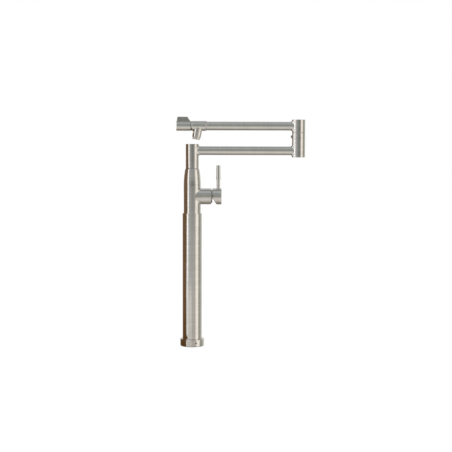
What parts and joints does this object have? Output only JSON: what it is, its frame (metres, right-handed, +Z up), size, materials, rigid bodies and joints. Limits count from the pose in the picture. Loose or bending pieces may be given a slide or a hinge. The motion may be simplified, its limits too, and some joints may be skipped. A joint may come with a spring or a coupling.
{
  "type": "pillar mixer tap",
  "caption": "Tall deck-mounted pillar mixer tap in satin stainless steel with a side lever, a jointed folding spout and a shut-off knob at its nozzle.",
  "frame": {"origin": "centre of the base where it stands on the worktop", "axes": "+Z up the pillar, +X along the folded arms towards the elbow and the side lever, -Y to the front"},
  "size_m": [0.3237, 0.0608, 0.6641],
  "materials": {
    "brushed_steel": "satin, brushed round the tubes",
    "screw_steel": "plain machined steel",
    "plain_steel": "plain sheet and bar steel",
    "brass": "machined",
    "copper": "drawn copper tube",
    "rubber": "matt black",
    "ceramic": "lapped ceramic",
    "cartridge_plastic": "moulded",
    "ptfe": "smooth dark low-friction plastic"
  },
  "bodies": {
    "pillar": {"deck_gasket": "rubber", "base_ring": "brushed_steel", "base_set_screw": "screw_steel", "pillar_tube": "brushed_steel", "mounting_shank": "brass", "clamp_washer_rubber": "rubber", "clamp_washer_steel": "plain_steel", "mounting_nut": "brass", "cold_supply_tube": "copper", "hot_supply_tube": "copper", "inlet_sockets": "brass", "mixer_body": "brushed_steel", "body_seal": "rubber", "cartridge_base": "cartridge_plastic", "cartridge_base_seals": "rubber", "cartridge_fixed_disc": "ceramic", "cartridge_housing": "cartridge_plastic", "cartridge_nut": "plain_steel", "swivel_spindle": "brass", "swivel_seals": "rubber", "swivel_slide_rings": "ptfe", "swivel_thrust_washer": "ptfe"},
    "turret": {"cartridge_turret": "cartridge_plastic", "lever_pin": "plain_steel"},
    "disc_slider": {"disc_carrier": "cartridge_plastic", "cartridge_moving_disc": "ceramic"},
    "lever": {"lever_stem": "plain_steel", "handle_hood": "brushed_steel", "handle_lever": "brushed_steel", "handle_set_screw": "screw_steel"},
    "spout_lower": {"lower_arm": "brushed_steel", "hub_retaining_screw": "screw_steel", "hub_top_cap": "brushed_steel", "elbow_bottom_plug": "brushed_steel", "elbow_retaining_screw": "screw_steel"},
    "spout_upper": {"elbow_spindle": "brass", "elbow_seals": "rubber", "elbow_slide_rings": "ptfe", "elbow_thrust_washer": "ptfe", "upper_arm": "brushed_steel", "elbow_top_cap": "brushed_steel", "spout_valve_housing": "brushed_steel", "aerator_seal": "rubber", "aerator_housing": "brushed_steel", "aerator_insert": "cartridge_plastic", "shutoff_bush": "brass", "shutoff_seat_seal": "rubber", "shutoff_fixed_disc": "ceramic"},
    "knob": {"shutoff_moving_disc": "ceramic", "shutoff_spindle": "brass", "spindle_seal": "rubber", "spindle_clip": "plain_steel", "spout_knob": "brushed_steel", "knob_set_screw": "screw_steel"}
  },
  "joints": [
    {"name": "arm_swivel", "type": "hinge", "parent": "pillar", "child": "spout_lower", "pos_m": [0, 0, 0.4945], "axis": [0, 0, 1], "continuous": true},
    {"name": "elbow_swivel", "type": "hinge", "parent": "spout_lower", "child": "spout_upper", "pos_m": [0.267, 0, 0.5395], "axis": [0, 0, 1], "continuous": true},
    {"name": "mixer_temperature", "type": "hinge", "parent": "pillar", "child": "turret", "pos_m": [0.0327, 0, 0.3795], "axis": [1, 0, 0], "range_deg": [-50, 50]},
    {"name": "mixer_flow", "type": "hinge", "parent": "turret", "child": "lever", "pos_m": [0.0327, 0, 0.3795], "axis": [0, 1, 0], "range_deg": [0, 25]},
    {"name": "disc_slide", "type": "slide", "parent": "turret", "child": "disc_slider", "axis": [0, 0, 1], "range_m": [0, 0.0039]},
    {"name": "spout_valve_turn", "type": "hinge", "parent": "spout_upper", "child": "knob", "pos_m": [-0.003, 0, 0.55625], "axis": [1, 0, 0], "range_deg": [0, 90]}
  ],
  "couplings": [
    {"joint": "disc_slide", "follows": "mixer_flow", "m_per_rad": 0.0087171}
  ]
}
